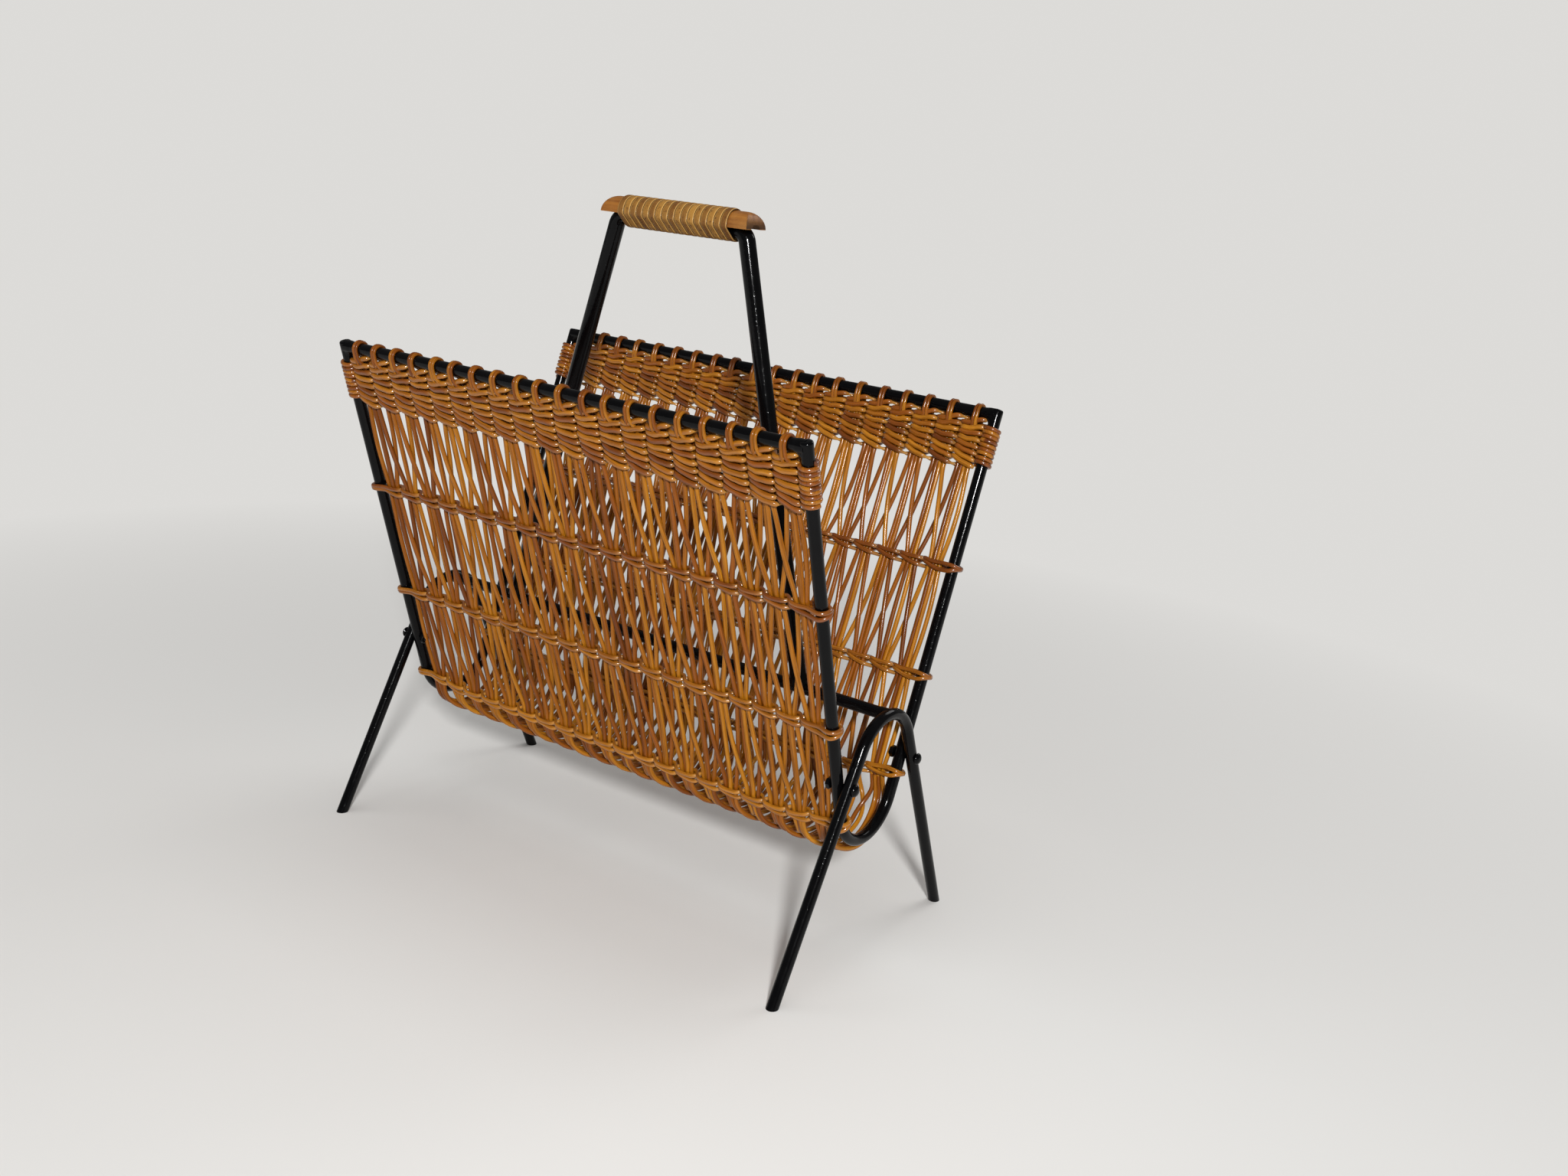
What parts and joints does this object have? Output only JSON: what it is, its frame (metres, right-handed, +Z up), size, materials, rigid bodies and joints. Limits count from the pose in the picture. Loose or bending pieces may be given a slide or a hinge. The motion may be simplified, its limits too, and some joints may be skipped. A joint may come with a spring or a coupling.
{
  "type": "magazine basket",
  "caption": "Open wicker trough for magazines in a black rod frame: arched leg hoops, close-woven bands, a crossed-stake lattice and a tall carrying handle with a cane-bound grip.",
  "frame": {"origin": "centre of the footprint, on the floor", "axes": "+Z up, X along the trough (left is -X), the front side faces -Y"},
  "size_m": [0.4054, 0.2384, 0.4626],
  "materials": {
    "black_paint": "glossy black paint",
    "stake_reed": "varnished honey-brown reed",
    "band_reed": "varnished brown reed, closely woven",
    "row_reed": "varnished red-brown reed, twined",
    "saddle_cane": "smooth brown cane with darker ends",
    "binding_cane": "golden-tan flat cane, dull varnish"
  },
  "bodies": {
    "root": {"end_hoop_left": "black_paint", "end_hoop_right": "black_paint", "leg_hoop_left": "black_paint", "leg_hoop_right": "black_paint", "top_rail_front": "black_paint", "top_rail_rear": "black_paint", "mid_bar": "black_paint", "handle_rod": "black_paint", "screw_front_left": "black_paint", "screw_front_right": "black_paint", "screw_rear_left": "black_paint", "screw_rear_right": "black_paint", "nut_front_left": "black_paint", "nut_front_right": "black_paint", "nut_rear_left": "black_paint", "nut_rear_right": "black_paint", "front_stakes": "stake_reed", "rear_stakes": "stake_reed", "bottom_stakes": "stake_reed", "front_band": "band_reed", "rear_band": "band_reed", "corner_wrap_front_left": "band_reed", "corner_wrap_front_right": "band_reed", "corner_wrap_rear_left": "band_reed", "corner_wrap_rear_right": "band_reed", "front_row_1": "row_reed", "front_row_2": "row_reed", "front_row_3": "row_reed", "rear_row_1": "row_reed", "rear_row_2": "row_reed", "rear_row_3": "row_reed", "grip_saddle": "saddle_cane", "grip_binding": "binding_cane"}
  },
  "joints": []
}
